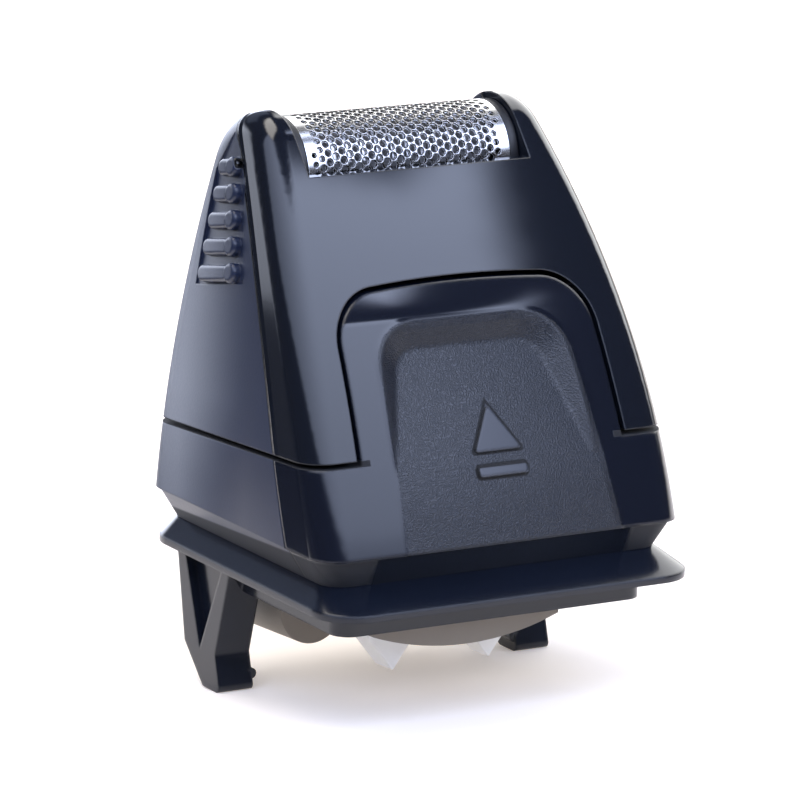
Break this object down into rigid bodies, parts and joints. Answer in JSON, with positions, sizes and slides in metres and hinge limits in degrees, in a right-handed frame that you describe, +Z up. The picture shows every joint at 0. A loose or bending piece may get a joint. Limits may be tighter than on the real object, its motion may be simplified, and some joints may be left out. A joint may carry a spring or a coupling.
{
  "type": "shaver foil head",
  "caption": "Clip-on foil shaver head: wedge-shaped casing with perforated foil, thumb release recess, grip ribs, flared coupling flange and hooks.",
  "frame": {"origin": "centre of the coupling rim's opening, where the head plugs into its handle", "axes": "+Z up towards the foil, -Y out of the front with the thumb recess, +X along the foil to the right seen from the front"},
  "size_m": [0.0378, 0.0342, 0.052],
  "materials": {
    "gloss_navy": "polished moulding, satin on the cap's sides",
    "satin_navy": "satin moulding",
    "frame_navy": "semi-gloss moulding",
    "foil_steel": "bright etched foil",
    "strip_steel": "stamped strip",
    "rod_steel": "ground and turned",
    "frame_black": "dull moulding",
    "housing_ivory": "matt moulding",
    "slide_white": "natural moulding, slightly see-through",
    "seal_grey": "soft seal",
    "carrier_grey": "matt moulding"
  },
  "bodies": {
    "base": {"base_shell": "satin_navy", "front_panel": "gloss_navy", "coupling_frame": "frame_navy", "chassis": "housing_ivory", "deck_plate": "housing_ivory", "hair_seal": "seal_grey", "guide_rod_front": "rod_steel", "guide_rod_rear": "rod_steel", "rod_keeper_left": "strip_steel", "rod_keeper_right": "strip_steel", "chassis_screws": "rod_steel"},
    "cap": {"foil_cap": "gloss_navy", "shaver_foil": "foil_steel", "foil_frame": "frame_black", "foil_clamp_front": "strip_steel", "foil_clamp_rear": "strip_steel"},
    "slider": {"drive_slider": "slide_white", "cutter_spring_left": "rod_steel", "cutter_spring_right": "rod_steel"},
    "cutter": {"cutter_carrier": "carrier_grey", "cutter_blades": "strip_steel"}
  },
  "joints": [
    {"name": "cap_lift", "type": "slide", "parent": "base", "child": "cap", "axis": [0, 0, 1], "range_m": [0, 0.025]},
    {"name": "cutter_slide", "type": "slide", "parent": "base", "child": "slider", "axis": [1, 0, 0], "range_m": [-0.001, 0.001]},
    {"name": "cutter_float", "type": "slide", "parent": "slider", "child": "cutter", "axis": [0, 0, 1], "range_m": [-0.0007, 0], "stiffness_N_per_m": 200, "springref_m": 0.003, "deforming": ["cutter_spring_left", "cutter_spring_right"]}
  ]
}
